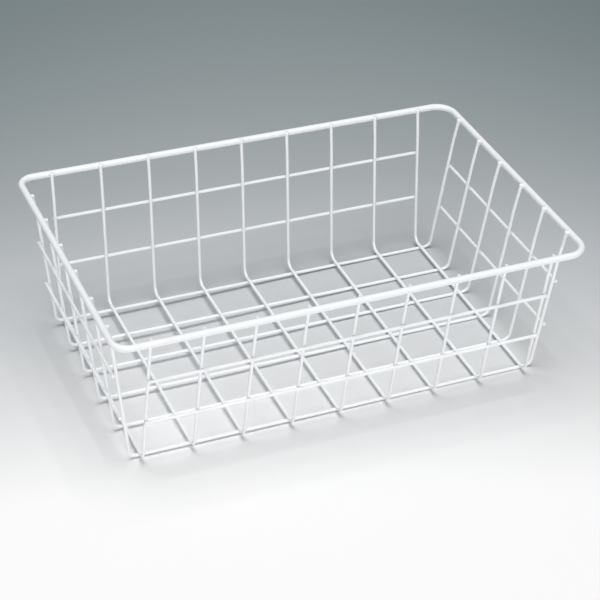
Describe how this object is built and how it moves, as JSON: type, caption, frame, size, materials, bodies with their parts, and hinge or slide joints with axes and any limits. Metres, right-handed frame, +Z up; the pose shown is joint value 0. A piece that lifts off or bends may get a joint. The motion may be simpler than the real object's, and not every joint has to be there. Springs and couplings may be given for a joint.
{
  "type": "wire basket",
  "caption": "White coated wire basket with flared walls: a welded grid of bent wires under a thick rounded rectangular rim.",
  "frame": {"origin": "bottom centre of the basket's box, on the surface it stands on", "axes": "+X along the length to the right end, +Y to the back wall, +Z up through the open top"},
  "size_m": [0.4754, 0.3052, 0.1566],
  "materials": {
    "wire_coating": "satin gloss white coating",
    "rim_coating": "satin gloss white coating"
  },
  "bodies": {
    "root": {"rim": "rim_coating", "cross_wire_1": "wire_coating", "cross_wire_2": "wire_coating", "cross_wire_3": "wire_coating", "cross_wire_4": "wire_coating", "cross_wire_5": "wire_coating", "cross_wire_6": "wire_coating", "cross_wire_7": "wire_coating", "cross_wire_8": "wire_coating", "cross_wire_9": "wire_coating", "length_wire_1": "wire_coating", "length_wire_2": "wire_coating", "length_wire_3": "wire_coating", "length_wire_4": "wire_coating", "length_wire_5": "wire_coating", "length_wire_6": "wire_coating", "front_rail_lower": "wire_coating", "front_rail_upper": "wire_coating", "back_rail_lower": "wire_coating", "back_rail_upper": "wire_coating", "left_rail_lower": "wire_coating", "left_rail_upper": "wire_coating", "right_rail_lower": "wire_coating", "right_rail_upper": "wire_coating"}
  },
  "joints": []
}
